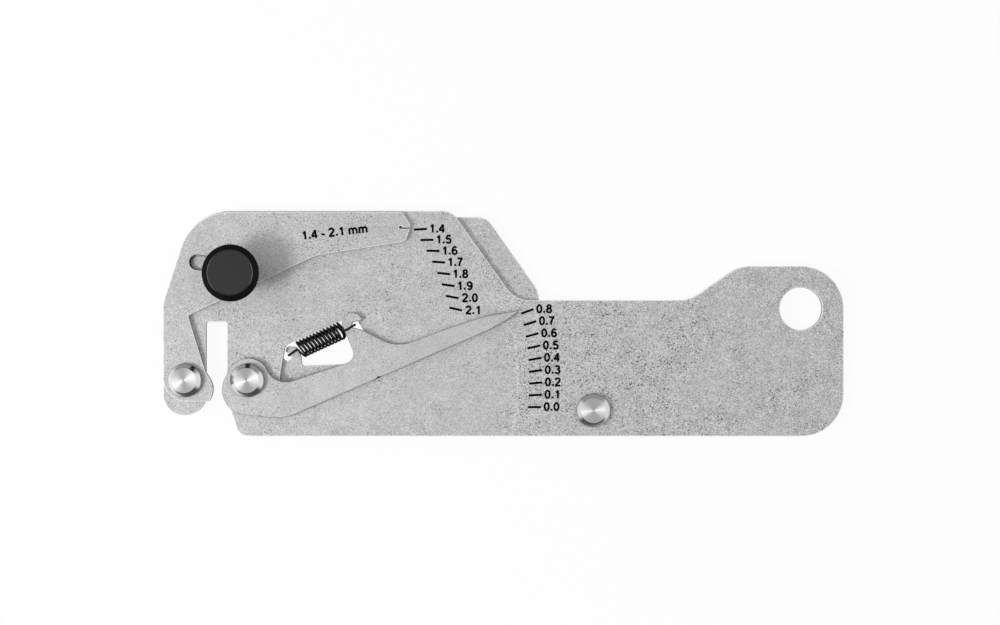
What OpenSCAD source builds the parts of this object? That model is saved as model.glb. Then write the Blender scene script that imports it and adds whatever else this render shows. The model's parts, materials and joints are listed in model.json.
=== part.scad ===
// Brake disc wear gauge: laser-cut stainless plates on three turned rivets,
// a sprung pointer lever, a clamped limit lever and a thumb plate behind the body.
// Plan sizes run from the body plate's lower left corner, heights from the rearmost rivet tail.

/* [Body plate] */
// Thickness of the body plate
body_t = 1.5; // [1.2:0.1:2]
// Length of the body plate
body_l = 160; // [150:1:190]
// Height of the head at the jaw end
body_h = 53; // [52:0.5:56]
// Height of the handle
handle_h = 32; // [30:0.5:34]
// Height of the lug with the hanging hole
lug_h = 40; // [37:0.5:46]
// Radius of the lug's corners
lug_r = 10; // [6:0.5:12]
// Diameter of the hanging hole
hang_d = 10; // [6:0.5:12]
// Distance of the hanging hole's centre from the end and the top of the lug
hang_inset = 10; // [9:0.5:12]

/* [Disc slot] */
// Width of the arm outside the slot
arm_w = 10; // [9.5:0.1:11]
// Width of the slot that the disc enters
slot_w = 5; // [4.8:0.1:5.4]
// Height of the slot's closed end above the bottom edge
slot_top = 26.9; // [24:0.5:28]

/* [Levers] */
// Thickness of the limit lever and the pointer lever
lever_t = 1.5; // [1.2:0.1:2]
// Thickness of the thumb plate
thumb_t = 1.5; // [1.2:0.1:2]
// Running gap between one plate and the next
plate_gap = 0.05; // [0.02:0.01:0.08]
// Gap between the two measuring lobes at rest
jaw_gap = 2.15; // [1.9:0.05:2.4]
// Radius of the limit lever's measuring lobe
limit_lobe_r = 4.7; // [4.5:0.1:4.9]
// Radius of the pointer lever's measuring lobe
pointer_lobe_r = 5.95; // [5.8:0.05:6.1]
// Radius of the pointer lever's hub
hub_r = 5.15; // [4.9:0.05:5.4]
// Distance of the lever tops below the head's top edge
top_inset = 0.4; // [0.2:0.1:1]
// Distance of the thumb tab's top below the head's top edge
tab_inset = 1.35; // [0.5:0.05:2]

/* [Pivots] */
// Diameter of a rivet's shank
pivot_d = 4; // [3.6:0.1:4.4]
// Radial clearance of a moving plate on its rivet
pivot_play = 0.05; // [0.02:0.01:0.09]
// Height of the two jaw pivots above the bottom edge
jaw_y = 13.25; // [13:0.05:13.5]
// Diameter of a rivet head
head_d = 8.1; // [7.5:0.1:8.6]
// Diameter of the turned face on a rivet head
face_d = 5.75; // [5:0.05:6.6]
// Height of a rivet head
head_h = 2.1; // [1.6:0.1:2.6]
// Diameter of a peened rivet tail
tail_d = 5.6; // [5:0.1:6]
// Height of a peened rivet tail
tail_h = 0.6; // [0.4:0.1:1]
// Diameter of the washer below a tail
burr_d = 7.4; // [6.4:0.1:8]
// Thickness of the washer below a tail
burr_t = 0.5; // [0.4:0.1:0.8]

/* [Clamp] */
// Distance of the clamp stud from the limit pivot
clamp_r = 27.75; // [27.4:0.05:28.1]
// Direction of the clamp stud from the limit pivot, in degrees
clamp_angle = 63.45; // [63:0.05:64]
// Travel of the limit lever round its pivot, in degrees
limit_travel = 19.5; // [18:0.5:20]
// Diameter of the clamp stud
stud_d = 3; // [2.5:0.1:3.2]
// Clearance on each side of the stud in the curved slot
slot_play = 0.2; // [0.1:0.05:0.4]
// Diameter of the clamp washer
clamp_washer_d = 9; // [7.5:0.5:9]
// Thickness of the clamp washer
clamp_washer_t = 0.6; // [0.4:0.1:1]
// Diameter of the knob
knob_d = 13; // [12:0.5:14]
// Diameter of the flat face on the knob
knob_face_d = 10.4; // [9:0.1:11]
// Height of the knob
knob_h = 10.9; // [9.5:0.1:12]
// Diameter of the knob's neck
neck_d = 8; // [7.4:0.1:8.4]

/* [Spring] */
// Diameter of the spring wire
wire_d = 0.55; // [0.45:0.05:0.6]
// Outside diameter of the coil
coil_d = 4.1; // [3.8:0.1:4.2]
// Distance from one turn to the next
coil_pitch = 0.82; // [0.8:0.01:0.84]

/* [Hidden] */

steel = [0.72, 0.72, 0.73];
bright = [0.82, 0.82, 0.84];
black = [0.12, 0.12, 0.13];
brass = [0.80, 0.66, 0.36];
$fn = 64;
arc_step = 7.5;

// Heights of the layers
thumb_z = tail_h + burr_t;
body_z = thumb_z + thumb_t + plate_gap;
lever_z = body_z + body_t + plate_gap;
lever_top = lever_z + lever_t;

// Plan places
limit_at = [5.6, jaw_y];
pointer_at = [arm_w + slot_w + 5.2, jaw_y];
thumb_at = [101.1, 6.15];
clamp_at = limit_at + clamp_r * [cos(clamp_angle), sin(clamp_angle)];
hang_at = [body_l - hang_inset, lug_h - hang_inset];
jaw_x = arm_w + 1.95;
limit_lobe = [jaw_x - limit_lobe_r, jaw_y - 2.15];
pointer_lobe = [jaw_x + jaw_gap + pointer_lobe_r, jaw_y - 2.25];

// Spring ends: centre of the wire in the throat of each finger
spring_near = thumb_at + [-71.8, 12.85];
spring_far = pointer_at + [24.95, 12.95];
spring_run = spring_far - spring_near;
spring_l = norm(spring_run);
spring_angle = atan2(spring_run[1], spring_run[0]);

// Outline tools

function unit(v) = v / norm(v);

// Points of an arc about c with radius r, from angle a0 to a1
function arc(c, r, a0, a1) =
    let (n = ceil(abs(a1 - a0) / arc_step))
    [for (i = [0 : n]) let (a = a0 + (a1 - a0) * i / n) [c[0] + r * cos(a), c[1] + r * sin(a), 0]];

// Fillet of radius r at corner b between its neighbours a and c
function corner(a, b, c, r) =
    let (u = unit(a - b),
         w = unit(c - b),
         half = acos(u * w) / 2,
         centre = b + unit(u + w) * r / sin(half),
         side = sign(u[0] * w[1] - u[1] * w[0]),
         sweep = 180 - 2 * half,
         start = b + u * r / tan(half) - centre,
         a0 = atan2(start[1], start[0]),
         n = max(2, ceil(sweep / arc_step)))
    [for (i = [0 : n]) let (t = a0 - side * sweep * i / n) centre + r * [cos(t), sin(t)]];

// Closed outline from [x, y, radius] corners, where radius 0 is a sharp point
function outline(v) =
    [for (i = [0 : len(v) - 1])
        let (a = v[(i + len(v) - 1) % len(v)], b = v[i], c = v[(i + 1) % len(v)])
        each (b[2] == 0
            ? [[b[0], b[1]]]
            : corner([a[0], a[1]], [b[0], b[1]], [c[0], c[1]], b[2]))];

// Corners given from a pivot, moved to their place
function from(p, v) = [for (q = v) [q[0] + p[0], q[1] + p[1], q[2]]];

module plate(z, t, corners) {
    translate([-body_l / 2, -body_h / 2, z])
        linear_extrude(t)
            polygon(outline(corners));
}

// Children placed at a plan point and a height
module at(p, z) {
    translate([p[0] - body_l / 2, p[1] - body_h / 2, z])
        children();
}

module bore(p, z, t, d) {
    at(p, z - 1)
        cylinder(h = t + 2, d = d);
}

// Body plate

head_lean = 0.3226;
head_foot = 31.3;
jaw_edge = arm_w + slot_w;
head_end = 67.8;
lug_slope = 24.5;

body_corners = [
    [jaw_edge + 2.9, 0, 3],
    [jaw_edge, 8.9, 2],
    [jaw_edge, slot_top, 0.5],
    [arm_w, slot_top, 0.5],
    [arm_w, 4.85, arm_w / 2 - 0.02],
    [0, 4.85, arm_w / 2 - 0.02],
    [0, head_foot, 6],
    [(body_h - head_foot) * head_lean, body_h, 12],
    [head_end, body_h, 3.8],
    [head_end + (body_h - handle_h) / 1.4, handle_h, 6.5],
    [body_l - lug_slope - (lug_h - handle_h) * 1.45, handle_h, 8],
    [body_l - lug_slope, lug_h, 8],
    [body_l, lug_h, lug_r],
    [body_l, 0, lug_r]
];

// Window that the spring works through
window_corners = [
    [27.1, 11.9, 1.5],
    [49.4, 14.7, 2],
    [49.2, 20.5, 3],
    [47.0, 25.0, 2],
    [45.0, 28.3, 1.1],
    [44.0, 28.2, 0.8],
    [28.6, 21.35, 1.7]
];

module body_plate() {
    color(steel)
        difference() {
            plate(body_z, body_t, body_corners);
            plate(body_z - 1, body_t + 2, window_corners);
            bore(limit_at, body_z, body_t, pivot_d);
            bore(pointer_at, body_z, body_t, pivot_d);
            bore(thumb_at, body_z, body_t, pivot_d);
            bore(clamp_at, body_z, body_t, stud_d);
            bore(hang_at, body_z, body_t, hang_d);
        }
}

// Limit lever

side_inset = 0.3;

// Corners along the top are given down from the top edge
limit_corners = concat(
    arc(limit_lobe, limit_lobe_r, -33, 35),
    from(limit_at, [
        [4.55, 2.05, 4],
        [0.55, 15.1, 0.5]
    ]),
    from([limit_at[0], body_h - top_inset], [
        [30.6, -10.1, 10],
        [51.5, -6.9, 1.4],
        [52.5, -3.8, 0.4],
        [52.5, -2.75, 0.4],
        [50.65, 0, 0.8]
    ]),
    [
        [side_inset + (body_h - top_inset - head_foot) * head_lean, body_h - top_inset, 12],
        [side_inset, head_foot, 6],
        [side_inset, jaw_y - 5, 5.4]
    ],
    from(limit_at, [[5.3, -5, 0.8]])
);

// Curved slot for the clamp stud, with room beyond the travel at both ends
slot_half = stud_d / 2 + slot_play;
slot_spare = 1.6;
slot_a0 = clamp_angle - slot_spare;
slot_a1 = clamp_angle + limit_travel + slot_spare;
curved_slot_corners = concat(
    arc(limit_at, clamp_r + slot_half, slot_a0, slot_a1),
    arc(limit_at, clamp_r - slot_half, slot_a1, slot_a0)
);

// Index slit in the limit lever's nose, open to a small round hole above its end
slit_w = 0.34;
slit_l = 2.2;
slit_hole_d = 0.75;
slit_at = [limit_at[0] + 50.3, body_h - top_inset - 3.75];

module limit_lever() {
    color(steel)
        difference() {
            plate(lever_z, lever_t, limit_corners);
            bore(limit_at, lever_z, lever_t, pivot_d + 2 * pivot_play);
            plate(lever_z - 1, lever_t + 2, curved_slot_corners);
            for (a = [slot_a0, slot_a1])
                bore(limit_at + clamp_r * [cos(a), sin(a)], lever_z, lever_t, 2 * slot_half);
            at(slit_at - [0, slit_w / 2], lever_z - 1)
                cube([slit_l + 1, slit_w, lever_t + 2]);
            bore(slit_at + [0, (slit_hole_d - slit_w) / 2], lever_z, lever_t, slit_hole_d);
        }
}

// Pointer lever

finger_head_r = 2.45;

pointer_corners = concat(
    arc(pointer_at, hub_r, 38, 166),
    arc(pointer_lobe, pointer_lobe_r, 146, 258),
    from(pointer_at, [
        [8.4, -9.1, 11],
        [46.7, 7.55, 30],
        [55.45, 11.3, 20],
        [60.1, 13.8, 12],
        [63.9, 16.45, 0.25],
        [55.05, 14.85, 20],
        [46.7, 12.15, 20],
        [34.8, 7.6, 9],
        [26.9, 11.7, 3],
        [24.25, 12.4, 0.4],
        [24.35, 13.5, 0.5],
        [26.8, 14.1, 0.25]
    ]),
    arc(pointer_at + [24.4, 13.35], finger_head_r, 30, 190),
    from(pointer_at, [
        [22.4, 11.9, 1.2],
        [25.45, 4.78, 2.3],
        [6.1, -1.57, 5]
    ])
);

module pointer_lever() {
    color(steel)
        difference() {
            plate(lever_z, lever_t, pointer_corners);
            bore(pointer_at, lever_z, lever_t, pivot_d + 2 * pivot_play);
        }
}

// Thumb plate behind the body, with the tab at its top and the spring finger at its far end

boss_r = 5.5;
tab_top = body_h - tab_inset - thumb_at[1];

thumb_corners = concat(
    arc(thumb_at, boss_r, 70, -90),
    from(thumb_at, [
        [-75.2, -0.2, 3],
        [-75.2, 12.6, 0.8],
        [-73.7, 12.9, 0.5],
        [-72.6, 11.3, 0.8],
        [-71.15, 11.9, 0.5],
        [-71.15, 13.45, 0.45],
        [-72.65, 13.5, 0.5],
        [-72.4, 15, 0.9],
        [-70, 14.8, 0.9],
        [-68.95, 12.6, 1.5],
        [-68.7, 10.3, 0.6],
        [-37.1, 11.6, 9],
        [-37.1, tab_top, 3],
        [-25.1, tab_top, 4],
        [-12.7, tab_top - 17.6, 7],
        [-12.4, 10.9, 8]
    ])
);

module thumb_plate() {
    color(steel)
        difference() {
            plate(thumb_z, thumb_t, thumb_corners);
            bore(thumb_at, thumb_z, thumb_t, pivot_d + 2 * pivot_play);
        }
}

// Turned rivet: z_tail is the lower face of its peened tail and z_head the seat of its head
module rivet(p, z_tail, z_head) {
    face = face_d / 2;
    rim = head_d / 2;
    pip_r = 0.3;
    color(bright)
        at(p, 0)
            rotate_extrude()
                polygon([
                    [0, z_tail],
                    [tail_d / 2 - 0.3, z_tail],
                    [tail_d / 2, z_tail + 0.3],
                    [tail_d / 2, z_tail + tail_h],
                    [pivot_d / 2, z_tail + tail_h],
                    [pivot_d / 2, z_head],
                    [rim, z_head],
                    [rim, z_head + head_h * 0.4],
                    [face + 0.15, z_head + head_h - 0.15],
                    [face, z_head + head_h],
                    [pip_r, z_head + head_h],
                    [0, z_head + head_h - 0.2]
                ]);
}

// Washer between a peened tail and the plate above it
module burr(p, z) {
    color(steel)
        at(p, z)
            difference() {
                cylinder(h = burr_t, d = burr_d);
                translate([0, 0, -1])
                    cylinder(h = burr_t + 2, d = pivot_d + 2 * pivot_play);
            }
}

body_back = body_z - burr_t;

module limit_rivet() {
    rivet(limit_at, body_back - tail_h, lever_top + plate_gap);
}

module pointer_rivet() {
    rivet(pointer_at, body_back - tail_h, lever_top + plate_gap);
}

module thumb_rivet() {
    rivet(thumb_at, 0, body_z + body_t);
}

module limit_burr() {
    burr(limit_at, body_back);
}

module pointer_burr() {
    burr(pointer_at, body_back);
}

module thumb_burr() {
    burr(thumb_at, tail_h);
}

// Clamp: stud pressed through the body plate, washer, and knob on its threaded insert

stud_head_d = 5.6;
stud_head_h = 1.2;
washer_z = lever_top + plate_gap;
knob_z = washer_z + clamp_washer_t;
insert_d = 5;
insert_h = 6;
stud_l = 5;

module clamp_stud() {
    color(bright)
        at(clamp_at, 0) {
            translate([0, 0, body_z - stud_head_h])
                cylinder(h = stud_head_h, d = stud_head_d);
            translate([0, 0, body_z])
                cylinder(h = knob_z + stud_l - body_z, d = stud_d);
        }
}

module clamp_washer() {
    color(bright)
        at(clamp_at, washer_z)
            difference() {
                cylinder(h = clamp_washer_t, d = clamp_washer_d);
                translate([0, 0, -1])
                    cylinder(h = clamp_washer_t + 2, d = stud_d + 2 * pivot_play);
            }
}

module knob_insert() {
    color(brass)
        at(clamp_at, knob_z)
            difference() {
                cylinder(h = insert_h, d = insert_d);
                translate([0, 0, -1])
                    cylinder(h = insert_h + 2, d = stud_d + 2 * pivot_play);
            }
}

module clamp_knob() {
    rim = knob_d / 2;
    face = knob_face_d / 2;
    neck = neck_d / 2;
    hole = insert_d / 2;
    color(black)
        at(clamp_at, knob_z)
            rotate_extrude()
                polygon([
                    [hole, 0],
                    [neck - 0.3, 0],
                    [neck, 0.3],
                    [neck, 2.2],
                    [neck + 0.2, 3.8],
                    [neck + 0.6, 5.2],
                    [rim - 1, knob_h - 3],
                    [rim - 0.25, knob_h - 1.4],
                    [rim, knob_h - 0.85],
                    [rim, knob_h - 0.65],
                    [rim - 0.2, knob_h - 0.4],
                    [face + 0.15, knob_h - 0.12],
                    [face, knob_h],
                    [0, knob_h],
                    [0, insert_h],
                    [hole, insert_h]
                ]);
}

// Tension spring: one wire of coil and hooks. The hook on the pointer lever's finger is a
// node of its own, because it slides away from the coil as the spring stretches.

wire_r = wire_d / 2;
coil_r = coil_d / 2 - wire_r;
coil_turns = 12.5;
coil_l = coil_pitch * coil_turns;
coil_start = (spring_l - coil_l) / 2 - 0.1;
peel = 25;
ring_sides = 8;
ring_step = 24;
seat_gap = 0.03;
near_mid = thumb_z + thumb_t / 2;
near_top = thumb_z + thumb_t;
far_mid = lever_z + lever_t / 2;
near_front = near_top + wire_r + seat_gap;
near_back = thumb_z - wire_r - seat_gap;
far_front = lever_top + wire_r + seat_gap;
far_back = lever_z - wire_r - seat_gap;

// Height of the spring's centre line at run s
function axis_z(s) = near_top + (lever_top - near_top) * s / spring_l;

// Helix point at turning angle a, which is 180 at the near end's side turn and grows away from it
function helix(a) =
    let (s = coil_start + coil_pitch * (a - 180) / 360)
    [s, coil_r * cos(a), axis_z(s) + coil_r * sin(a)];

function bezier(p0, p1, p2, p3, n) =
    [for (i = [1 : n - 1])
        let (t = i / n, u = 1 - t)
        u * u * u * p0 + 3 * u * u * t * p1 + 3 * u * t * t * p2 + t * t * t * p3];

helix_a0 = 180 + peel;
helix_a1 = 180 + 360 * coil_turns - peel;
helix_dir0 = unit(helix(helix_a0 + 2) - helix(helix_a0));
helix_dir1 = unit(helix(helix_a1) - helix(helix_a1 - 2));
over_l = 1.9;
sway = 0.32;
cross_l = 0.75;
far_l = coil_start + coil_l - 0.3;

near_path = concat(
    [[0.95, 0, near_back], [0.35, 0, near_back]],
    bezier([0.35, 0, near_back], [0, 0, near_back], [0, 0, near_back + 0.1], [0, 0, near_mid - 0.4], 4),
    [[0, 0, near_mid - 0.4], [0, 0, near_mid + 0.4]],
    bezier([0, 0, near_mid + 0.4], [0, 0, near_front - 0.1], [0.1, 0, near_front], [0.6, 0, near_front], 5),
    [[0.6, 0, near_front], [over_l, sway, near_front]],
    bezier([over_l, sway, near_front], [over_l + cross_l, 1.6 * sway, near_front],
        [over_l + cross_l, -0.5, near_front + 0.1], [over_l + 1.2 * cross_l, -1, near_front + 0.15], 6),
    bezier([over_l + 1.2 * cross_l, -1, near_front + 0.15], [over_l + 1.5 * cross_l, -1.7, near_front + 0.2],
        helix(helix_a0) - 0.4 * helix_dir0, helix(helix_a0), 5),
    [for (a = [helix_a0 : ring_step : helix_a1 - 1]) helix(a)],
    [helix(helix_a1)]
);

far_path = concat(
    [helix(helix_a1)],
    bezier(helix(helix_a1), helix(helix_a1) + 0.4 * helix_dir1,
        [far_l + 0.7 * cross_l, 1.7, far_front - 0.4], [far_l + cross_l, 1, far_front - 0.25], 5),
    bezier([far_l + cross_l, 1, far_front - 0.25], [far_l + 1.3 * cross_l, 0.4, far_front - 0.1],
        [far_l + 1.3 * cross_l, -1.6 * sway, far_front], [spring_l - over_l, -sway, far_front], 6),
    [[spring_l - over_l, -sway, far_front], [spring_l - 0.6, 0, far_front]],
    bezier([spring_l - 0.6, 0, far_front], [spring_l - 0.1, 0, far_front],
        [spring_l, 0, far_front - 0.1], [spring_l, 0, far_mid + 0.4], 5),
    [[spring_l, 0, far_mid + 0.4], [spring_l, 0, far_mid - 0.4]],
    bezier([spring_l, 0, far_mid - 0.4], [spring_l, 0, far_back + 0.1],
        [spring_l, 0, far_back], [spring_l - 0.35, 0, far_back], 4),
    [[spring_l - 0.35, 0, far_back], [spring_l - 0.95, 0, far_back]]
);

// Direction of a path at point i
function heading(p, i) = unit(p[min(i + 1, len(p) - 1)] - p[max(i - 1, 0)]);

// Part of v at right angles to the heading t
function square_to(v, t) = unit(v - (v * t) * t);

// Round wire swept along a path, with its section carried without twist
module wire(path) {
    last = len(path) - 1;
    normals = [for (i = 0, m = square_to([0, 1, 0.01], heading(path, 0));
                    i <= last;
                    i = i + 1, m = i <= last ? square_to(m, heading(path, i)) : m) m];
    points = [for (i = [0 : last])
        let (t = heading(path, i), m = normals[i], b = cross(t, m))
        for (k = [0 : ring_sides - 1])
            let (a = 360 * k / ring_sides)
            path[i] + wire_r * (cos(a) * m + sin(a) * b)];
    walls = [for (i = [0 : last - 1], k = [0 : ring_sides - 1])
        let (j = (k + 1) % ring_sides,
             p = i * ring_sides + k,
             q = i * ring_sides + j,
             r = q + ring_sides,
             s = p + ring_sides)
        each [[p, r, q], [p, s, r]]];
    caps = [[for (k = [0 : ring_sides - 1]) k],
            [for (k = [ring_sides - 1 : -1 : 0]) last * ring_sides + k]];
    at(spring_near, 0)
        rotate([0, 0, spring_angle])
            polyhedron(points, concat(walls, caps), convexity = 10);
}

module tension_spring() {
    color(black)
        wire(near_path);
}

module spring_loop() {
    color(black)
        wire(far_path);
}

body_plate();
limit_lever();
pointer_lever();
thumb_plate();
limit_rivet();
pointer_rivet();
thumb_rivet();
limit_burr();
pointer_burr();
thumb_burr();
clamp_stud();
clamp_washer();
clamp_knob();
knob_insert();
tension_spring();
spring_loop();
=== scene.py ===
import json
from math import atan2, cos, pi, radians, sin, tan, tau

import bmesh
import bpy
from mathutils import Matrix, Vector
from mathutils.geometry import tessellate_polygon


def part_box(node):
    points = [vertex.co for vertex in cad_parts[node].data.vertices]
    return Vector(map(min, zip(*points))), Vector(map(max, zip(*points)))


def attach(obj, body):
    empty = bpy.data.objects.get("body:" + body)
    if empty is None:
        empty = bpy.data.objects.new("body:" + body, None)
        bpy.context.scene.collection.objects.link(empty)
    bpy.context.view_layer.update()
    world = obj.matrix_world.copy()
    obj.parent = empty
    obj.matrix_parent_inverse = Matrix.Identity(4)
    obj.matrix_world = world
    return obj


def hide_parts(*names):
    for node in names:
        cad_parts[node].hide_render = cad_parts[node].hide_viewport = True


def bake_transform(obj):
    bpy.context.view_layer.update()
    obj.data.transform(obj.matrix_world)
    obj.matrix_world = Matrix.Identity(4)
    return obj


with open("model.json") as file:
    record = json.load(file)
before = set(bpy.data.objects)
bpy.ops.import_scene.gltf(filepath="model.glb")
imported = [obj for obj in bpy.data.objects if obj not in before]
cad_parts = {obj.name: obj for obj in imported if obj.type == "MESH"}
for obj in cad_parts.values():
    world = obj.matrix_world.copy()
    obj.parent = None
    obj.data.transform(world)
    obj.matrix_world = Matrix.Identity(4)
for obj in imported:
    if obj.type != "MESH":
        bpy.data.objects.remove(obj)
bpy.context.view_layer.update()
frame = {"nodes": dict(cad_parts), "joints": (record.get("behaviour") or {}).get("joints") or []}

MM = 0.001

# Heights of the layers, in metres, from the frame
FACE_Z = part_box("body_plate")[1].z
THUMB_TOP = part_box("thumb_plate")[1].z
LEVER_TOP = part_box("pointer_lever")[1].z


def joint_place(name):
    """Where a joint's axis stands, in the row frame."""
    joint = next(j for j in frame["joints"] if j["name"] == name)
    return Vector(joint["pos_m"])


LIMIT_AT = joint_place("limit_set")
POINTER_AT = joint_place("pointer_swing")
CLAMP_AT = joint_place("knob_turn")
SPRING_NEAR = joint_place("spring_turn")

# Camera: straight down, at the height at which the photograph's perspective between the layers fits
IMAGE_W = 1000
SENSOR = 36
MM_PER_PIXEL = 0.2351
VIEW_DISTANCE = 350
VIEW_CENTRE = (-0.8, 2.6)


def make_camera():
    data = bpy.data.cameras.new("camera")
    data.sensor_width = SENSOR
    data.lens = SENSOR * VIEW_DISTANCE / MM_PER_PIXEL / IMAGE_W
    data.clip_start = 0.01
    camera = bpy.data.objects.new("camera", data)
    camera.location = (VIEW_CENTRE[0] * MM, VIEW_CENTRE[1] * MM, FACE_Z + VIEW_DISTANCE * MM)
    bpy.context.scene.collection.objects.link(camera)
    bpy.context.scene.camera = camera


make_camera()


class Shader:
    """A material's or the world's node tree, with a short call for each kind of node."""

    def __init__(self, owner):
        owner.use_nodes = True
        self.tree = owner.node_tree
        self.tree.nodes.clear()

    def node(self, kind, inputs=None, **settings):
        made = self.tree.nodes.new(kind)
        for name, value in settings.items():
            setattr(made, name, value)
        for key, value in (inputs or {}).items():
            self.feed(made.inputs[key], value)
        return made

    def feed(self, socket, value):
        if isinstance(value, bpy.types.NodeSocket):
            self.tree.links.new(value, socket)
        else:
            socket.default_value = value

    def math(self, operation, a, b=0.0, c=0.0):
        inputs = {0: a, 1: b, 2: c}
        return self.node("ShaderNodeMath", inputs, operation=operation).outputs[0]

    def vector(self, operation, a, b=(0, 0, 0)):
        return self.node("ShaderNodeVectorMath", {0: a, 1: b}, operation=operation)

    def from_axis(self, place):
        """Distance of a place from the Z axis."""
        flat = self.vector("MULTIPLY", place, (1, 1, 0)).outputs[0]
        return self.vector("LENGTH", flat).outputs["Value"]

    def noise(self, vector, scale, detail=2.0, roughness=0.5):
        """Cloudy noise from 0 to 1, with about scale cells to the metre."""
        inputs = {"Vector": vector, "Scale": scale, "Detail": detail, "Roughness": roughness}
        return self.node("ShaderNodeTexNoise", inputs).outputs["Fac"]

    def ramp(self, value, low, high, to_low=0.0, to_high=1.0):
        """Smooth step from to_low, where the value is low, to to_high."""
        inputs = {"Value": value, "From Min": low, "From Max": high, "To Min": to_low, "To Max": to_high}
        return self.node("ShaderNodeMapRange", inputs, interpolation_type="SMOOTHSTEP").outputs["Result"]

    def mix(self, factor, a, b):
        made = self.node("ShaderNodeMix", data_type="RGBA")
        for key, value in (("Factor_Float", factor), ("A_Color", a), ("B_Color", b)):
            self.feed(next(s for s in made.inputs if s.identifier == key), value)
        return next(s for s in made.outputs if s.identifier == "Result_Color")

    def grey(self, value):
        return self.node("ShaderNodeCombineColor", {0: value, 1: value, 2: value}).outputs[0]

    def object_place(self):
        return self.node("ShaderNodeTexCoord").outputs["Object"]

    def surface(self, **inputs):
        """Principled shader on the output. Names use underscores for spaces."""
        named = {key.replace("_", " "): value for key, value in inputs.items()}
        shader = self.node("ShaderNodeBsdfPrincipled", named)
        self.node("ShaderNodeOutputMaterial", {"Surface": shader.outputs[0]})


def along_arc(s, place, arc, core, reach):
    """The distance from an arc's centre, and a mask: 1 within core of the arc's line and 0 beyond reach.
    An arc is a centre, a radius and two angles."""
    centre, radius, low, high = arc
    fade = 0.05
    offset = s.vector("SUBTRACT", place, centre).outputs[0]
    distance = s.from_axis(offset)
    parts = s.node("ShaderNodeSeparateXYZ", {0: offset})
    angle = s.math("ARCTAN2", parts.outputs[1], parts.outputs[0])
    off_line = s.math("ABSOLUTE", s.math("SUBTRACT", distance, radius))
    mask = s.math("MULTIPLY", s.ramp(off_line, core, reach, 1, 0), s.ramp(angle, low, low + fade))
    return distance, s.math("MULTIPLY", mask, s.ramp(angle, high - fade, high, 1, 0))


def shade_and_soot_on(s, place, edge, shaded_cut, spark):
    """Painted shade on the walls and edges of a narrow cut, and a sooty spot about the place where the laser
    began.
    """
    shade_and_soot = 0.0
    if shaded_cut:
        shade_and_soot = s.math("MULTIPLY", edge, along_arc(s, place, shaded_cut, 2.0 * MM, 2.4 * MM)[1])
    if spark:
        off_spark = s.from_axis(s.vector("SUBTRACT", place, spark).outputs[0])
        spot = s.math("MULTIPLY", edge, s.ramp(off_spark, 0.7 * MM, 0.9 * MM, 1, 0))
        spot = s.math("MAXIMUM", spot, s.ramp(off_spark, 0.4 * MM, 0.5 * MM, 1, 0))
        shade_and_soot = s.math("MAXIMUM", shade_and_soot, spot)
    return shade_and_soot


SHEET_TONE = 0.60
BRIGHTEST = 0.96


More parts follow.
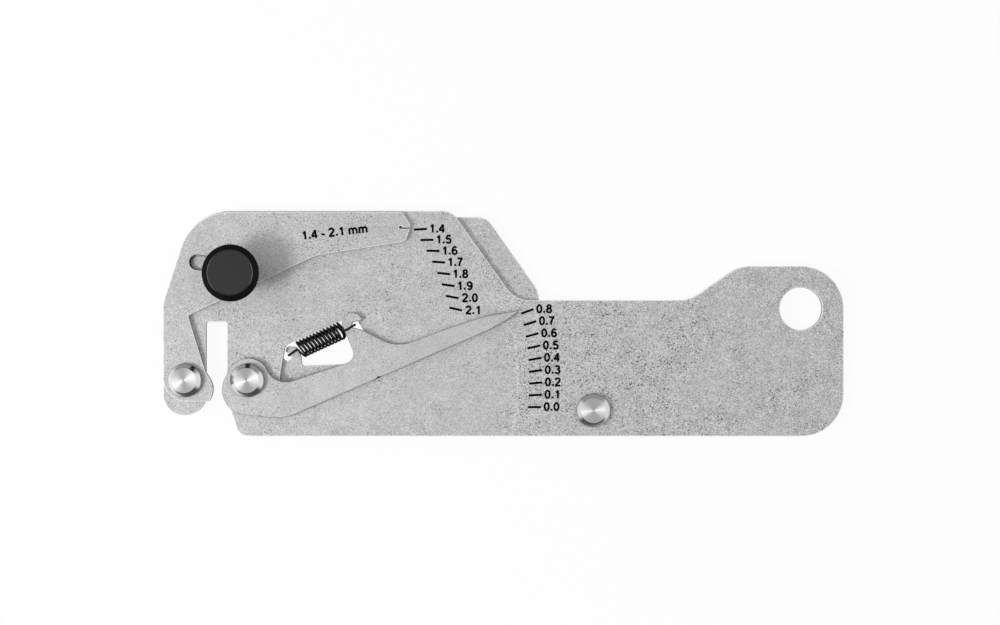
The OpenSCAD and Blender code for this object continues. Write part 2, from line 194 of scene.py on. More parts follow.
def plate_steel(name, speckle=1.0, painted_edge_gain=1.3, rub=None, shaded_cut=None, spark=None):
    """Blasted stainless sheet: fine grain, dark and light flecks in patches, edges lightened by wear and
    painted highlight, and cut walls with laser striations, darkened by oxide and painted shade. The edge gain
    sets how much lighter the edges are, as painted highlight, and makes them darker where it is negative, as
    painted shade. rub is an arc that something has polished; the sheet inside the arc is rubbed smoother too.
    The arc of a narrow cut gets walls and edges painted nearly black, as shade, and spark is the spot on an
    edge where the laser began, with a sooty mark about it."""
    material = bpy.data.materials.new(name)
    s = Shader(material)
    place = s.object_place()

    # Grain and flecks
    grain_place = s.vector("MULTIPLY", place, (0.8, 1, 1)).outputs[0]
    grain = s.math("SUBTRACT", s.noise(grain_place, 4400, 1, 0.5), 0.5)
    middle = s.math("SUBTRACT", s.noise(place, 1100, 2, 0.6), 0.5)
    cloud = s.math("SUBTRACT", s.noise(place, 260, 3, 0.6), 0.5)
    dark = s.math("MULTIPLY", s.ramp(s.noise(place, 2500, 1, 0.5), 0.60, 0.70),
                  s.ramp(s.noise(place, 75, 2, 0.5), 0.40, 0.62, 0.25, 1.3))
    light = s.math("MULTIPLY", s.ramp(s.noise(place, 2200, 1, 0.5), 0.66, 0.76),
                   s.ramp(s.noise(place, 120, 1, 0.5), 0.45, 0.65, 0.3, 1.0))
    ripple = s.math("ADD", s.math("MULTIPLY", grain, 1.95), s.math("MULTIPLY", middle, 0.55))
    ripple = s.math("MULTIPLY_ADD", dark, -0.62, ripple)
    ripple = s.math("MULTIPLY_ADD", light, 0.55, ripple)

    # Face, rubbed smoother inside the arc and polished along it
    amount = speckle
    if rub:
        distance, line = along_arc(s, place, rub, 0.1 * MM, 0.5 * MM)
        amount = s.ramp(distance, rub[1] - 4 * MM, rub[1] + 1 * MM, 0.72 * speckle, speckle)
    level = s.math("ADD", s.math("MULTIPLY", ripple, amount), s.math("MULTIPLY_ADD", cloud, 0.36, 1.0))
    if rub:
        line = s.math("MULTIPLY", line, s.ramp(s.noise(place, 400, 2), 0.3, 0.65, 0.25, 1))
        level = s.math("MULTIPLY_ADD", line, 0.17, level)

    # Edges, cut walls and the narrow cut, told apart by how steep the metal is, with painted highlight and
    # painted shade on them
    normal = s.node("ShaderNodeNewGeometry").outputs["True Normal"]
    upright = s.math("ABSOLUTE", s.node("ShaderNodeSeparateXYZ", {0: normal}).outputs[2])
    bevel_wear_and_painted_light = s.ramp(upright, 0.90, 0.99, 1, 0)
    edge = s.ramp(upright, 0.90, 0.97, 1, 0)
    wall = s.ramp(upright, 0.12, 0.32, 1, 0)
    # The narrow cut's walls and edges get painted shade, nearly black, and the laser's start a sooty spot
    clear_of_shade_and_soot = s.math("MULTIPLY_ADD", shade_and_soot_on(s, place, edge, shaded_cut, spark), -0.96, 1.0)
    # Edges lighter by the gain, as painted highlight with some real wear; darker where the gain is negative,
    # as painted shade
    level = s.math("MULTIPLY", level, s.math("MULTIPLY_ADD", bevel_wear_and_painted_light, painted_edge_gain, 1.0))
    level = s.math("MINIMUM", s.math("MULTIPLY", level, SHEET_TONE), BRIGHTEST)
    level = s.math("MULTIPLY", level, clear_of_shade_and_soot)
    down_the_wall = s.vector("MULTIPLY", place, (1, 1, 0.05)).outputs[0]
    striation = s.noise(down_the_wall, 4200, 2, 0.6)
    # Cut walls darker: partly the laser's oxide, partly painted shade
    cut = s.math("MULTIPLY", s.math("MULTIPLY_ADD", striation, 0.5, 0.30), clear_of_shade_and_soot)
    colour = s.mix(wall, s.grey(level), s.grey(s.math("MULTIPLY", cut, SHEET_TONE)))

    height = s.math("MULTIPLY_ADD", dark, -0.6, grain)
    height = s.math("MULTIPLY_ADD", s.math("MULTIPLY", striation, wall), 3.0, height)
    bump = s.node("ShaderNodeBump", {"Height": height, "Strength": 0.25, "Distance": 0.02 * MM})
    roughness = s.math("MULTIPLY_ADD", grain, 0.2, 0.52)
    metal = s.math("MULTIPLY_ADD", bevel_wear_and_painted_light, -0.4, 0.4)
    shine = s.math("MULTIPLY", clear_of_shade_and_soot, 0.5)
    s.surface(Base_Color=colour, Metallic=metal, Roughness=roughness, Specular_IOR_Level=shine,
              Normal=bump.outputs[0])
    return material


def turned_steel(name, tone, face_r=1.0, shade_r=1.0):
    """Bright steel straight from the lathe, with fine rings about the piece's own Z axis. Up to face_r from
    the axis the rings are rough across, and outside it the steel is smooth. Beyond the outer radius it is
    painted darker, as shade at the foot of a rivet head."""
    material = bpy.data.materials.new(name)
    s = Shader(material)
    place = s.object_place()
    radius = s.from_axis(place)
    ring_place = s.node("ShaderNodeCombineXYZ", {0: radius}).outputs[0]
    rings = s.noise(ring_place, 5200, 2, 0.6)
    stain = s.noise(place, 900, 2, 0.5)
    level = s.math("MULTIPLY_ADD", rings, 0.22 * tone, 0.84 * tone)
    level = s.math("MULTIPLY_ADD", stain, 0.10 * tone, s.math("ADD", level, -0.05 * tone))
    # Painted shade: darker beyond the outer radius, at the foot of a rivet head
    level = s.math("MULTIPLY", level, s.ramp(radius, shade_r - 0.1 * MM, shade_r, 1, 0.4))
    bump = s.node("ShaderNodeBump", {"Height": rings, "Strength": 0.3, "Distance": 0.03 * MM})
    tangent = s.node("ShaderNodeTangent", direction_type="RADIAL", axis="Z")
    faced = s.ramp(radius, face_r - 0.03 * MM, face_r + 0.03 * MM, 1, 0)
    rough = s.math("MULTIPLY_ADD", rings, 0.10, s.math("MULTIPLY_ADD", faced, 0.27, 0.09))
    stretch = s.math("MULTIPLY", faced, 0.93)
    s.surface(Base_Color=s.grey(level), Metallic=1.0, Roughness=rough, Anisotropic=stretch,
              Anisotropic_Rotation=0.25, Normal=bump.outputs[0], Tangent=tangent.outputs[0])
    return material


# Radius of the knob's flat face, in millimetres
KNOB_FACE_R = 5.03


def black_plastic(name):
    """Satin black with a polished, darker rim outside the knob's face and a rubbed edge next to it."""
    material = bpy.data.materials.new(name)
    s = Shader(material)
    place = s.object_place()
    face_r = KNOB_FACE_R * MM
    radius = s.from_axis(place)
    rim = s.ramp(radius, face_r - 0.13 * MM, face_r - 0.03 * MM)
    rub_end = s.ramp(radius, face_r + 0.09 * MM, face_r + 0.21 * MM, 1, 0)
    rub = s.math("MULTIPLY", s.ramp(radius, face_r, face_r + 0.03 * MM), rub_end)
    grain = s.noise(place, 3500, 2, 0.6)
    cloud = s.noise(place, 260, 2, 0.5)
    level = s.math("MULTIPLY_ADD", cloud, 0.006, 0.017)
    level = s.math("MULTIPLY_ADD", grain, 0.004, level)
    level = s.math("MULTIPLY", level, s.math("MULTIPLY_ADD", rim, -0.82, 1.0))
    rough = s.math("MULTIPLY_ADD", grain, 0.12, 0.40)
    rough = s.math("MULTIPLY_ADD", rub, -0.3, rough)
    shine = s.math("MULTIPLY_ADD", rim, -0.22, 0.32)
    bump = s.node("ShaderNodeBump", {"Height": grain, "Strength": 0.25, "Distance": 0.02 * MM})
    s.surface(Base_Color=s.grey(level), Roughness=rough, Specular_IOR_Level=shine, Coat_Weight=rub,
              Coat_IOR=2.3, Coat_Roughness=0.12, Normal=bump.outputs[0])
    return material


def spring_steel(name):
    """Dark oiled wire, with a film that is uneven in tone and gloss."""
    material = bpy.data.materials.new(name)
    s = Shader(material)
    film = s.noise(s.object_place(), 1800, 2, 0.6)
    level = s.math("MULTIPLY_ADD", film, 0.04, 0.018)
    rough = s.math("MULTIPLY_ADD", film, 0.12, 0.06)
    s.surface(Base_Color=s.grey(level), Metallic=0.9, Roughness=rough)
    return material


def brass(name):
    """Turned brass with a light tarnish."""
    material = bpy.data.materials.new(name)
    s = Shader(material)
    tarnish = s.noise(s.object_place(), 1200, 2, 0.6)
    colour = s.mix(tarnish, (0.62, 0.44, 0.18, 1), (0.80, 0.62, 0.30, 1))
    rough = s.math("MULTIPLY_ADD", tarnish, 0.15, 0.25)
    s.surface(Base_Color=colour, Metallic=1.0, Roughness=rough)
    return material


def marking(name):
    """Black laser marking, slightly broken by the grain of the steel below it."""
    material = bpy.data.materials.new(name)
    s = Shader(material)
    grain = s.noise(s.object_place(), 3000, 2, 0.6)
    level = s.ramp(grain, 0.60, 0.85, 0.0015, 0.02)
    rough = s.ramp(grain, 0.3, 0.7, 0.6, 0.8)
    s.surface(Base_Color=s.grey(level), Roughness=rough, Specular_IOR_Level=0.05)
    return material


# Arc that the pointer's tip has worn on the body
TIP_R = 63.15 * MM
RUB = (POINTER_AT, TIP_R, radians(-13), radians(12))

# Slot that the clamp stud runs in, with its ends, whose walls and edges get painted shade, and the spot where
# the pointer lever's cut began
CLAMP_SLOT = (LIMIT_AT, (CLAMP_AT - LIMIT_AT).xy.length, radians(57), radians(91))
LASER_START = (-29.2 * MM, -12.74 * MM, 0)

# Lighter bevels are painted highlight; the pointer lever's darker bevels and the clamp slot's black walls are
# painted shade
BODY_STEEL = plate_steel("body_steel", rub=RUB)
LIMIT_STEEL = plate_steel("limit_steel", speckle=0.75, shaded_cut=CLAMP_SLOT)
POINTER_STEEL = plate_steel("pointer_steel", speckle=0.55, painted_edge_gain=-0.45, spark=LASER_START)
THUMB_STEEL = plate_steel("thumb_steel", speckle=0.65)
# Rivet heads are painted darker at their outer edge, as shade at their foot
TURNED = turned_steel("turned_steel", tone=0.88, face_r=2.93 * MM, shade_r=3.86 * MM)
WASHER_STEEL = turned_steel("washer_steel", tone=0.6)
PLASTIC = black_plastic("black_plastic")
SPRING = spring_steel("spring_steel")
BRASS = brass("insert_brass")
INK = marking("laser_marking")


def new_piece(name, mesh, material, body, place=(0, 0, 0)):
    """An object for a mesh, at a place in the row frame, that rides on a body."""
    mesh.materials.append(material)
    piece = bpy.data.objects.new(name, mesh)
    piece.location = place
    bpy.context.scene.collection.objects.link(piece)
    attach(piece, body)
    return piece


def mesh_from(bm, name):
    """Mesh of a bmesh, which is then freed."""
    mesh = bpy.data.meshes.new(name)
    bm.to_mesh(mesh)
    bm.free()
    return mesh


# Plates


def turn_at(loop, i):
    """Angle by which a closed loop turns at point i, positive to the left."""
    a, b, c = loop[i - 1], loop[i], loop[(i + 1) % len(loop)]
    u, v = b - a, c - b
    return atan2(u.x * v.y - u.y * v.x, u.dot(v))


def area(loop):
    """Area inside a closed loop, positive where it runs anticlockwise."""
    return sum(loop[i - 1].x * p.y - p.x * loop[i - 1].y for i, p in enumerate(loop)) / 2


def top_loops(node):
    """Loops round a plate's upper face: the outline anticlockwise and first, then the holes clockwise."""
    bm = bmesh.new()
    bm.from_mesh(frame["nodes"][node].data)
    bmesh.ops.remove_doubles(bm, verts=bm.verts, dist=0.001 * MM)
    bm.normal_update()
    top = {f for f in bm.faces if f.normal.z > 0.99}
    rim = {e for e in bm.edges if sum(f in top for f in e.link_faces) == 1}
    loops = []
    while rim:
        edge = rim.pop()
        first, here = edge.verts
        points = [first.co.xy]
        while here != first:
            points.append(here.co.xy)
            edge = next(e for e in here.link_edges if e in rim)
            rim.remove(edge)
            here = edge.other_vert(here)
        loops.append([Vector(p) for p in points])
    bm.free()
    loops.sort(key=lambda loop: -abs(area(loop)))
    return [loop if (area(loop) > 0) == (i == 0) else loop[::-1] for i, loop in enumerate(loops)]


def rounded(loop):
    """The loop with a true circle for a round hole, and with each chord of an arc halved onto its arc."""
    centre = sum(loop, Vector((0, 0))) / len(loop)
    radii = [(p - centre).length for p in loop]
    if len(loop) > 12 and max(radii) - min(radii) < 0.002 * MM:
        steps = 128
        way = 1 if area(loop) > 0 else -1
        return [centre + radii[0] * Vector((cos(way * tau * i / steps), sin(way * tau * i / steps)))
                for i in range(steps)]
    # A chord of an arc turns a little to one side at both ends, and isn't much longer than its neighbours
    arc_turn = (radians(1), radians(9.5))
    fine = []
    for i, p in enumerate(loop):
        q = loop[(i + 1) % len(loop)]
        turns = turn_at(loop, i), turn_at(loop, (i + 1) % len(loop))
        fine.append(p)
        along = q - p
        beside = max((p - loop[i - 1]).length, (loop[(i + 2) % len(loop)] - q).length)
        on_arc = all(arc_turn[0] < abs(t) < arc_turn[1] for t in turns) and turns[0] * turns[1] > 0
        if on_arc and along.length < 1.5 * beside:
            turn = max(turns, key=abs)
            outward = Vector((along.y, -along.x))
            fine.append((p + q) / 2 + outward * tan(turn / 4) / 2)
    return fine


def inset(loop, distance):
    """The loop moved to its left, which is into the plate."""
    moved = []
    for i, p in enumerate(loop):
        a, b = p - loop[i - 1], loop[(i + 1) % len(loop)] - p
        normal = Vector((-a.y, a.x)).normalized() + Vector((-b.y, b.x)).normalized()
        normal.normalize()
        moved.append(p + normal * distance / max(0.5, cos(turn_at(loop, i) / 2)))
    return moved


EDGE = 0.17 * MM
SHARP_EDGE = radians(35)


def dress_plate(node, body, material):
    """A plate with the CAD node's outline and thickness, its edges broken by a small radius."""
    low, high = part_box(node)
    loops = [rounded(loop) for loop in top_loops(node)]
    share = 1 - cos(pi / 4)
    rings = [(EDGE, low.z), (EDGE * share, low.z + EDGE * share), (0, low.z + EDGE),
             (0, high.z - EDGE), (EDGE * share, high.z - EDGE * share), (EDGE, high.z)]
    bm = bmesh.new()
    levels = []
    for distance, z in rings:
        levels.append([[bm.verts.new((p.x, p.y, z)) for p in inset(loop, distance)] for loop in loops])
    for lower, upper in zip(levels, levels[1:]):
        for a, b in zip(lower, upper):
            for i in range(len(a)):
                bm.faces.new((a[i - 1], a[i], b[i], b[i - 1])).smooth = True
    for level, flip in ((levels[0], True), (levels[-1], False)):
        flat = [v for loop in level for v in loop]
        for triangle in tessellate_polygon([[v.co for v in loop] for loop in level]):
            face = bm.faces.new([flat[k] for k in triangle])
            face.normal_update()
            if (face.normal.z > 0) == flip:
                face.normal_flip()
    bm.normal_update()
    for edge in bm.edges:
        edge.smooth = all(f.smooth for f in edge.link_faces) and edge.calc_face_angle(pi) < SHARP_EDGE
    piece = new_piece(node + "_dressed", mesh_from(bm, node), material, body)
    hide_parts(node)


dress_plate("body_plate", "body", BODY_STEEL)
dress_plate("limit_lever", "limit", LIMIT_STEEL)
dress_plate("pointer_lever", "pointer", POINTER_STEEL)
dress_plate("thumb_plate", "thumb", THUMB_STEEL)


# Turned pieces


def fillet(a, b, c, radius, steps=4):
    """Points of a fillet at corner b of a profile."""
    u, v = (a - b).normalized(), (c - b).normalized()
    half = u.angle(v) / 2
    reach = min(radius / tan(half), (a - b).length * 0.49, (c - b).length * 0.49)
    start, end = b + u * reach, b + v * reach
    ways = [i / steps for i in range(steps + 1)]
    return [(1 - t) ** 2 * start + 2 * t * (1 - t) * b + t * t * end for t in ways]


def profile_points(corners):
    """A profile from (radius, height, fillet) corners in millimetres."""
    places = [Vector((r, z)) for r, z, f in corners]
    points = []
    for i, (r, z, f) in enumerate(corners):
        if f and 0 < i < len(corners) - 1:
            points += fillet(places[i - 1], places[i], places[i + 1], f)
        else:
            points.append(places[i])
    return points


def lathe(name, corners, steps=96, closed=False):
    """Mesh of a profile turned about Z. A closed profile makes a ring."""
    turns = [tau * k / steps for k in range(steps)]
    bm = bmesh.new()
    rows = []
    for p in profile_points(corners):
        radius, height = p.x * MM, p.y * MM
        if p.x < 1e-6:
            rows.append([bm.verts.new((0, 0, height))])
        else:
            rows.append([bm.verts.new((radius * cos(turn), radius * sin(turn), height)) for turn in turns])
    pairs = list(zip(rows, rows[1:])) + ([(rows[-1], rows[0])] if closed else [])
    for a, b in pairs:
        for k in range(steps):
            j = (k + 1) % steps
            ring = [a[k % len(a)], a[j % len(a)], b[j % len(b)], b[k % len(b)]]
            corners_once = list(dict.fromkeys(ring))
            if len(corners_once) > 2:
                bm.faces.new(corners_once).smooth = True
    bmesh.ops.recalc_face_normals(bm, faces=bm.faces)
    return mesh_from(bm, name)


def turned_piece(node, corners, body, material, closed=False):
    """A turned piece on the axis of the CAD node that it replaces. Heights run from the node's foot."""
    low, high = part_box(node)
    mesh = lathe(node, corners, closed=closed)
    mesh.set_sharp_from_angle(angle=radians(30))
    place = ((low.x + high.x) / 2, (low.y + high.y) / 2, low.z)
    piece = new_piece(node + "_dressed", mesh, material, body, place)
    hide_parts(node)


# Rivets, in millimetres
HEAD_R = 3.93
HEAD_FACE_R = 2.875
HEAD_H = 2.1
WALL_H = 1.22
TAIL_R = 2.8
TAIL_H = 0.6
SHANK_R = 2.0
PIP_R = 0.32


def rivet(node):
    """Rivet with a peened tail, and a turned head whose face stands on a cone and has a small pip."""
    low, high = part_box(node)
    top = (high.z - low.z) / MM
    seat = top - HEAD_H
    turned_piece(node, [
        (0, 0.05, 0),
        (TAIL_R - 0.9, 0, 0.5),
        (TAIL_R - 0.15, 0.1, 0.25),
        (TAIL_R, TAIL_H, 0.05),
        (SHANK_R, TAIL_H, 0.05),
        (SHANK_R, seat, 0.05),
        (HEAD_R, seat, 0.06),
        (HEAD_R, seat + WALL_H, 0.08),
        (HEAD_FACE_R + 0.1, top - 0.08, 0.06),
        (HEAD_FACE_R, top, 0.05),
        (HEAD_FACE_R * 0.5, top - 0.02, 0),
        (PIP_R, top - 0.03, 0.03),
        (0, top - 0.22, 0),
    ], "body", TURNED)


def washer(node, inner, outer, thick):
    """Flat ring with stamped, slightly round edges."""
    edge = 0.08
    turned_piece(node, [
        (inner, 0, 0), (outer, 0, edge), (outer, thick, edge), (inner, thick, 0), (inner, thick / 2, 0),
    ], "body", WASHER_STEEL, closed=True)


for pivot in ("limit", "pointer", "thumb"):
    rivet(pivot + "_rivet")
    washer(pivot + "_burr", inner=2.05, outer=3.7, thick=0.5)
washer("clamp_washer", inner=1.55, outer=4.5, thick=0.6)

# Clamp, in millimetres
STUD_R = 1.5
STUD_H = 9.9
STUD_HEAD_R = 2.8
STUD_HEAD_H = 1.2
BORE_R = 1.55
INSERT_R = 2.5
INSERT_H = 6
KNOB_FOOT_R = 4.0
KNOB_R = 6.5
KNOB_H = 10.9

turned_piece("clamp_stud", [
    (0, 0, 0),
    (STUD_HEAD_R, 0, 0.15),
    (STUD_HEAD_R, STUD_HEAD_H, 0.04),
    (STUD_R, STUD_HEAD_H, 0.04),
    (STUD_R, STUD_H, 0.2),
    (0, STUD_H, 0),
], "body", WASHER_STEEL)
turned_piece("knob_insert", [
    (BORE_R, 0, 0.1),
    (INSERT_R, 0, 0.1),
    (INSERT_R, INSERT_H, 0.1),
    (BORE_R, INSERT_H, 0.1),
    (BORE_R, INSERT_H / 2, 0),
], "knob", BRASS, closed=True)
turned_piece("clamp_knob", [
    (INSERT_R, 0, 0),
    (KNOB_FOOT_R, 0, 0.3),
    (KNOB_FOOT_R, 2.6, 1.0),
    (4.4, 5.0, 1.5),
    (5.5, 7.9, 1.5),
    (KNOB_R, KNOB_H - 1.0, 0.35),
    (KNOB_R, KNOB_H - 0.6, 0.25),
    (KNOB_FACE_R, KNOB_H, 0.15),
    (0, KNOB_H, 0),
    (0, INSERT_H, 0),
    (INSERT_R, INSERT_H, 0),
], "knob", PLASTIC, closed=True)


# Tension spring: one wire of near hook, coil and far hook, in millimetres in a frame along its axis

SHEET_T = 1.5
WIRE_R = 0.27
COIL_R = 1.94
COIL_Y = 0.1
PITCH = 0.895
TURNS = 12.5
COIL_END = 13.82
SPRING_AXIS = Vector((0.910464, 0.413588, 0))
SPRING_SIDE = Vector((-SPRING_AXIS.y, SPRING_AXIS.x, 0))
SPRING_L = 17.409
SEAT_GAP = 0.03

# Each loop leans along the axis, across it and with its height, and is bent out of its plane
LEAN = 0.25
LEAN_LOST = 0.18
TILT = 0.187
TWIST = 0.09
BOW = 0.107
LAST_LOOP = 12.0
LAST_LOOP_FADE = 0.4


def coil_point(angle, axis_height):
    """A point of the coil. All loops but the last lean, because the hooks pull off the coil's axis. The coil
    starts at half a turn, and a full turn is its top in plan."""
    y, z = COIL_R * cos(angle), COIL_R * sin(angle)
    run = COIL_END - PITCH * (TURNS + 0.5 - angle / tau)
    straight = min(1, max(0, (angle / tau - LAST_LOOP) / LAST_LOOP_FADE))
    lean = (LEAN - LEAN_LOST * straight) * (COIL_R - y) - TILT * z
    bend = TWIST * sin(2 * angle) + BOW * (1 - cos(2 * angle))
    s = run + lean + bend
    return Vector((s, y + COIL_Y, axis_height(s) + z))


def spring_route():
    """Points (along, across, height) in millimetres. Heights are absolute."""
    near_top, far_top = THUMB_TOP / MM, LEVER_TOP / MM
    near_mid, far_mid = near_top - SHEET_T / 2, far_top - SHEET_T / 2
    near_front, far_front = near_top + WIRE_R + SEAT_GAP, far_top + WIRE_R + SEAT_GAP
    near_back, far_back = near_top - SHEET_T - WIRE_R - SEAT_GAP, far_top - SHEET_T - WIRE_R - SEAT_GAP

    def axis_z(s):
        return near_top + (far_top - near_top) * s / SPRING_L

    first, last = pi, pi + tau * TURNS
    near = [
        (0.95, 0, near_back), (0.35, 0, near_back), (0.05, 0, near_back + 0.15), (0, 0, near_mid - 0.3),
        (0, 0, near_mid + 0.3), (0.05, 0.02, near_front - 0.15), (0.4, 0.07, near_front),
        (0.97, 0.14, near_front), (1.88, 0.34, near_front), (2.35, 0.42, near_front + 0.01),
        (2.58, 0.22, near_front + 0.03), (2.78, -0.42, near_front + 0.1), (3.16, -1.15, near_front + 0.25),
    ]
    far = [
        (14.02, 1.2, 5.5), (14.16, 0.48, 5.8), (14.4, -0.03, 6.0), (14.82, -0.24, far_front),
        (15.3, -0.3, far_front), (16.2, -0.15, far_front), (17.0, -0.04, far_front),
        (SPRING_L - 0.05, 0, far_front - 0.15), (SPRING_L, 0, far_mid + 0.3), (SPRING_L, 0, far_mid - 0.3),
        (SPRING_L - 0.05, 0, far_back + 0.15), (SPRING_L - 0.35, 0, far_back), (SPRING_L - 0.95, 0, far_back),
    ]
    steps = int((last - first) / radians(18))
    coil = [coil_point(first + (last - first) * i / steps, axis_z) for i in range(steps + 1)]
    return [Vector(p) for p in near] + coil + [Vector(p) for p in far]


def smooth_route(points, parts):
    """Catmull-Rom curve through the points."""
    fine = []
    for i in range(len(points) - 1):
        a, b = points[max(i - 1, 0)], points[i]
        c, d = points[i + 1], points[min(i + 2, len(points) - 1)]
        for k in range(parts):
            t = k / parts
            fine.append(0.5 * (2 * b + (c - a) * t + (2 * a - 5 * b + 4 * c - d) * t * t
                               + (3 * b - 3 * c + d - a) * t ** 3))
    return fine + [points[-1]]


def sweep(name, path, radius, sides=12):
    """Round wire along a path, with flat ends."""
    turns = [tau * k / sides for k in range(sides)]
    bm = bmesh.new()
    rings = []
    across = Vector((0, 0, 1))
    for i, p in enumerate(path):
        heading = (path[min(i + 1, len(path) - 1)] - path[max(i - 1, 0)]).normalized()
        across = (across - heading * across.dot(heading)).normalized()
        other = heading.cross(across)
        rings.append([bm.verts.new(p + radius * (cos(turn) * across + sin(turn) * other)) for turn in turns])
    for a, b in zip(rings, rings[1:]):
        for k in range(sides):
            j = (k + 1) % sides
            bm.faces.new((a[k], a[j], b[j], b[k])).smooth = True
    for ring in (rings[0][::-1], rings[-1]):
        bm.faces.new(ring)
    bmesh.ops.recalc_face_normals(bm, faces=bm.faces)
    return mesh_from(bm, name)


def spring_point(p):
    """A point of the spring's own frame, in the row frame."""
    base = Vector((SPRING_NEAR.x, SPRING_NEAR.y, 0))
    return base + (SPRING_AXIS * p.x + SPRING_SIDE * p.y + Vector((0, 0, p.z))) * MM


def make_spring():
    """The wire, swept along its route and fixed in the row frame in place of the CAD spring's parts."""
    path = [spring_point(p) for p in smooth_route(spring_route(), 2)]
    mesh = sweep("tension_spring", path, WIRE_R * MM)
    mesh.materials.append(SPRING)
    piece = bpy.data.objects.new("tension_spring_dressed", mesh)
    bpy.context.scene.collection.objects.link(piece)
    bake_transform(piece)
    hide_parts("tension_spring", "spring_loop")


make_spring()


# Scales: ticks and plain numbers, marked on the steel, in millimetres

FACE_MARK_Z = FACE_Z / MM - 0.004
LEVER_MARK_Z = LEVER_TOP / MM - 0.004
MARK_T = 0.012
CAP_H = 1.97
PEN = 0.25
TICK_W = 0.55


def oval(x, y, rx, ry, start=0, end=360, steps=24):
    """Points of an elliptical arc, in degrees from +X. It runs clockwise where end is below start."""
    angles = (radians(start + (end - start) * i / steps) for i in range(steps + 1))
    return [Vector((x + rx * cos(a), y + ry * sin(a))) for a in angles]


def line(*points):
    """A stroke from point to point."""
    return [Vector(p) for p in points]


def spun(stroke):
    """The stroke turned by half a turn about the middle of a digit."""
    return [Vector((0.775, 0.98)) - p for p in stroke]


SIX = [oval(0.395, 0.315, 0.25, 0.25), oval(0.40, 0.48, 0.265, 0.45, 42, 200)]

# For each character, its advance and the centre lines of its strokes, in cap heights
GLYPHS = {
    "0": (0.777, [oval(0.387, 0.49, 0.25, 0.44)]),
    "1": (0.777, [line((0.455, 0), (0.455, 1)), oval(0.12, 1.08, 0.36, 0.36, -80, -22, 8)]),
    "2": (0.777, [oval(0.375, 0.70, 0.25, 0.235, 175, -28) + line((0.10, 0.06)),
                  line((0.04, 0.065), (0.70, 0.065))]),
    "3": (0.777, [oval(0.365, 0.735, 0.215, 0.205, 165, -88), oval(0.37, 0.295, 0.26, 0.235, 100, -165)]),
    "4": (0.777, [line((0.50, 0.96), (0.07, 0.31)), line((0.02, 0.29), (0.71, 0.29)),
                  line((0.513, 0), (0.513, 1))]),
    "5": (0.777, [line((0.17, 0.93), (0.67, 0.93)), line((0.21, 0.94), (0.145, 0.49)),
                  oval(0.375, 0.325, 0.26, 0.265, 146, -162)]),
    "6": (0.777, SIX),
    "7": (0.777, [line((0.06, 0.93), (0.70, 0.93)), oval(1.0, 0, 0.71, 1.05, 180, 119)]),
    "8": (0.777, [oval(0.387, 0.735, 0.20, 0.195), oval(0.387, 0.285, 0.255, 0.225)]),
    "9": (0.777, [spun(stroke) for stroke in SIX]),
    ".": (0.388, [line((0.195, 0), (0.195, PEN))]),
    "-": (0.465, [line((0.05, 0.36), (0.42, 0.36))]),
    "m": (1.163, [line((0.15, 0), (0.15, 0.72)), oval(0.36, 0.44, 0.21, 0.22, 180, 0) + line((0.57, 0)),
                  oval(0.78, 0.44, 0.21, 0.22, 180, 0) + line((0.99, 0))]),
    " ": (0.388, []),
}


def add_stroke(bm, points, width, low, high):
    """A flat bar of even width along a line of points. All sizes are millimetres."""
    closed = (points[0] - points[-1]).length < 1e-6
    if closed:
        points = points[:-1]
    sections = []
    for i, p in enumerate(points):
        before = points[i - 1] if closed or i else p
        after = points[(i + 1) % len(points)] if closed or i + 1 < len(points) else p
        heading = (after - before).normalized()
        side = Vector((-heading.y, heading.x)) * width / 2
        corners = ((p + side, low), (p - side, low), (p - side, high), (p + side, high))
        sections.append([bm.verts.new((q.x * MM, q.y * MM, z * MM)) for q, z in corners])
    pairs = list(zip(sections, sections[1:])) + ([(sections[-1], sections[0])] if closed else [])
    for a, b in pairs:
        for k in range(4):
            bm.faces.new((a[k - 1], a[k], b[k], b[k - 1]))
    if not closed:
        bm.faces.new(sections[0])
        bm.faces.new(sections[-1][::-1])


def add_tick(bm, start, direction, length):
    """A bar from start on the body's face."""
    end = start + length * Vector((cos(direction), sin(direction)))
    add_stroke(bm, [start, end], TICK_W, FACE_MARK_Z, FACE_MARK_Z + MARK_T)
    return end


def add_label(bm, text, place, angle=0.0, height=CAP_H, z=FACE_MARK_Z):
    """Characters whose ink starts at place, which is half their height up. Each stroke lies a little
    higher than the last, so that no two faces are in one plane."""
    turn = Matrix.Rotation(angle, 2)
    origin = None
    pen_at = 0
    for character in text:
        advance, strokes = GLYPHS[character]
        for i, stroke in enumerate(strokes):
            if origin is None:
                ink = min(p.x for part in strokes for p in part) - PEN / 2
                origin = Vector((-ink, -0.5))
            points = [place + turn @ (height * (p + origin + Vector((pen_at, 0)))) for p in stroke]
            add_stroke(bm, points, PEN * height, z, z + MARK_T + 0.002 * i)
        pen_at += advance


def finish_marks(name, bm, body):
    """One piece of all the marks in a bmesh."""
    bmesh.ops.recalc_face_normals(bm, faces=bm.faces)
    new_piece(name, mesh_from(bm, name), INK, body)


LABEL_GAP = Vector((0.6, 0.12))


def pointer_scale():
    """Nine ticks round the pointer's pivot, from 0.8 down to 0.0."""
    pivot = POINTER_AT.xy / MM
    radius = 65.85
    first_angle = 13.69
    scale_angle = 19.27
    tick_lean = 6.0
    tick_length = 3.1
    bm = bmesh.new()
    for i in range(9):
        angle = radians(first_angle - i * scale_angle / 8)
        start = pivot + radius * Vector((cos(angle), sin(angle)))
        end = add_tick(bm, start, angle + radians(tick_lean), tick_length)
        add_label(bm, "0.%d" % (8 - i), end + LABEL_GAP)
    finish_marks("pointer_scale", bm, "body")


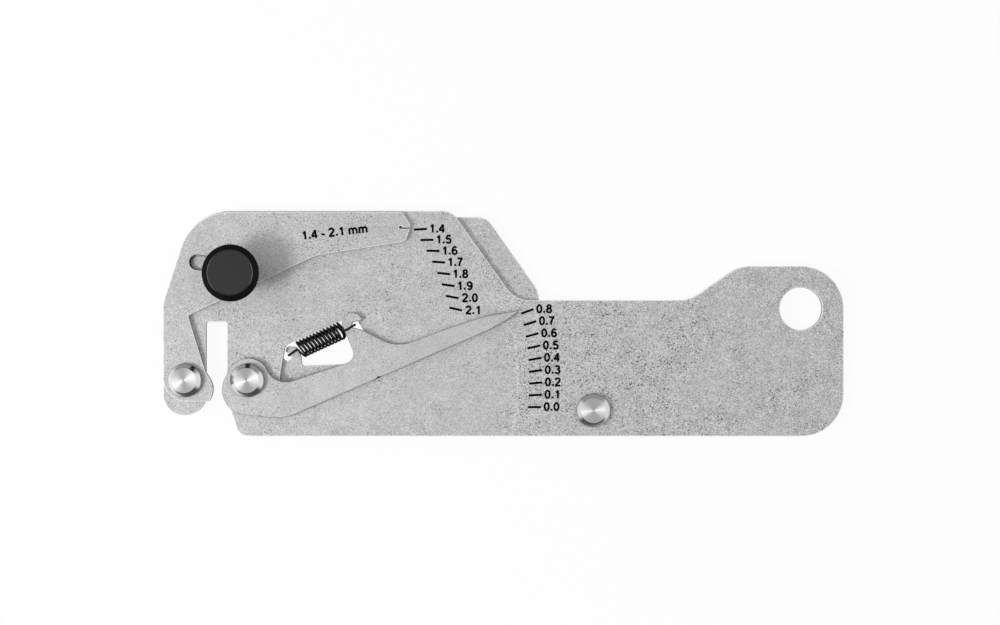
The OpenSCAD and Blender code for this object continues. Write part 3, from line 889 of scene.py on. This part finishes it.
def limit_scale():
    """Eight ticks round the limit lever's pivot, from 1.4 to 2.1."""
    pivot = LIMIT_AT.xy / MM
    radius = 64.0
    first_angle = 33.5
    scale_angle = 18.1
    first_heading = 3.5
    heading_change = 16.2
    tick_length = 3.05
    bm = bmesh.new()
    for i in range(8):
        angle = radians(first_angle - i * scale_angle / 7)
        start = pivot + radius * Vector((cos(angle), sin(angle)))
        end = add_tick(bm, start, radians(first_heading - i * heading_change / 7), tick_length)
        add_label(bm, "%.1f" % (1.4 + 0.1 * i), end + LABEL_GAP)
    finish_marks("limit_scale", bm, "body")


def limit_range():
    """The scale's range, marked on the limit lever along its arm."""
    place = Vector((-47.2, 20.6))
    bm = bmesh.new()
    add_label(bm, "1.4 - 2.1 mm", place, angle=radians(6.5), height=2.0, z=LEVER_MARK_Z)
    finish_marks("limit_range", bm, "limit")


pointer_scale()
limit_scale()
limit_range()


# Stage and light


PLAIN_WHITE = 0.94


def floor_material():
    """White floor that keeps a pale shadow: the camera sees it mostly as plain white."""
    material = bpy.data.materials.new("floor")
    s = Shader(material)
    diffuse = s.node("ShaderNodeBsdfDiffuse", {"Color": (0.9, 0.9, 0.9, 1)})
    glow = s.node("ShaderNodeEmission", {"Color": (1, 1, 1, 1), "Strength": 1.0})
    seen = s.math("MULTIPLY", s.node("ShaderNodeLightPath").outputs["Is Camera Ray"], PLAIN_WHITE)
    both = s.node("ShaderNodeMixShader", {0: seen, 1: diffuse.outputs[0], 2: glow.outputs[0]})
    s.node("ShaderNodeOutputMaterial", {"Surface": both.outputs[0]})
    return material


def make_floor():
    """Square floor, just below the rivet tails so that no faces share a plane."""
    half = 3.0
    gap = 0.05 * MM
    corners = [(-half, -half, 0), (half, -half, 0), (half, half, 0), (-half, half, 0)]
    mesh = bpy.data.meshes.new("floor")
    mesh.from_pydata(corners, [], [(0, 1, 2, 3)])
    mesh.materials.append(floor_material())
    floor = bpy.data.objects.new("floor", mesh)
    floor.location.z = -gap
    bpy.context.scene.collection.objects.link(floor)


# Brightness of the surround
OVERHEAD = 0.88
SIDES = 1.35
NEAR_END = 0.12
FAR_END = 0.5
HORIZON = 0.75


def make_world():
    """Studio surround: plain overhead, brighter to the left and right, and darker at the near and far end.
    The camera sees it as plain white."""
    world = bpy.data.worlds.new("studio")
    bpy.context.scene.world = world
    s = Shader(world)
    way = s.node("ShaderNodeTexCoord").outputs["Generated"]
    parts = s.node("ShaderNodeSeparateXYZ", {0: way})
    xx = s.math("MULTIPLY", parts.outputs[0], parts.outputs[0])
    yy = s.math("MULTIPLY", parts.outputs[1], parts.outputs[1])
    flat = s.math("ADD", xx, yy)
    never_zero = s.math("ADD", flat, 0.0001)
    sideways = s.math("DIVIDE", xx, never_zero)
    tilt = s.math("SQRT", flat)
    ends = s.ramp(parts.outputs[1], -0.1, 0.1, NEAR_END, FAR_END)
    walls = s.ramp(sideways, 0.45, 0.85, ends, SIDES)
    low = s.ramp(tilt, 0.3, 0.55)
    strength = s.math("MULTIPLY_ADD", s.math("SUBTRACT", walls, OVERHEAD), low, OVERHEAD)
    strength = s.math("MULTIPLY", strength, s.ramp(tilt, 0.75, 0.98, 1, HORIZON))
    light = s.node("ShaderNodeBackground", {"Strength": strength})
    white = s.node("ShaderNodeBackground", {"Color": (1, 1, 1, 1), "Strength": 1.0})
    camera = s.node("ShaderNodeLightPath").outputs["Is Camera Ray"]
    both = s.node("ShaderNodeMixShader", {0: camera, 1: light.outputs[0], 2: white.outputs[0]})
    s.node("ShaderNodeOutputWorld", {"Surface": both.outputs[0]})


def add_lamp(name, place, size, power, mirrored):
    """Square soft lamp that points at the middle of the object. Shiny steel shows it only if mirrored."""
    data = bpy.data.lights.new(name, "AREA")
    data.shape = "SQUARE"
    data.size = size
    data.energy = power
    lamp = bpy.data.objects.new(name, data)
    lamp.location = place
    lamp.rotation_euler = (Vector((0, 0, 0)) - Vector(place)).to_track_quat("-Z", "Y").to_euler()
    lamp.visible_glossy = mirrored
    bpy.context.scene.collection.objects.link(lamp)


# One soft lamp in two parts, of which shiny steel mirrors only the second. Sizes are metres and watts
KEY_AT = (-0.32, -0.12, 0.437)
KEY_SIZE = 0.14

make_floor()
make_world()
add_lamp("key", KEY_AT, KEY_SIZE, power=0.9, mirrored=False)
add_lamp("key_glint", KEY_AT, KEY_SIZE, power=0.5, mirrored=True)
bpy.context.scene.view_settings.view_transform = "Standard"
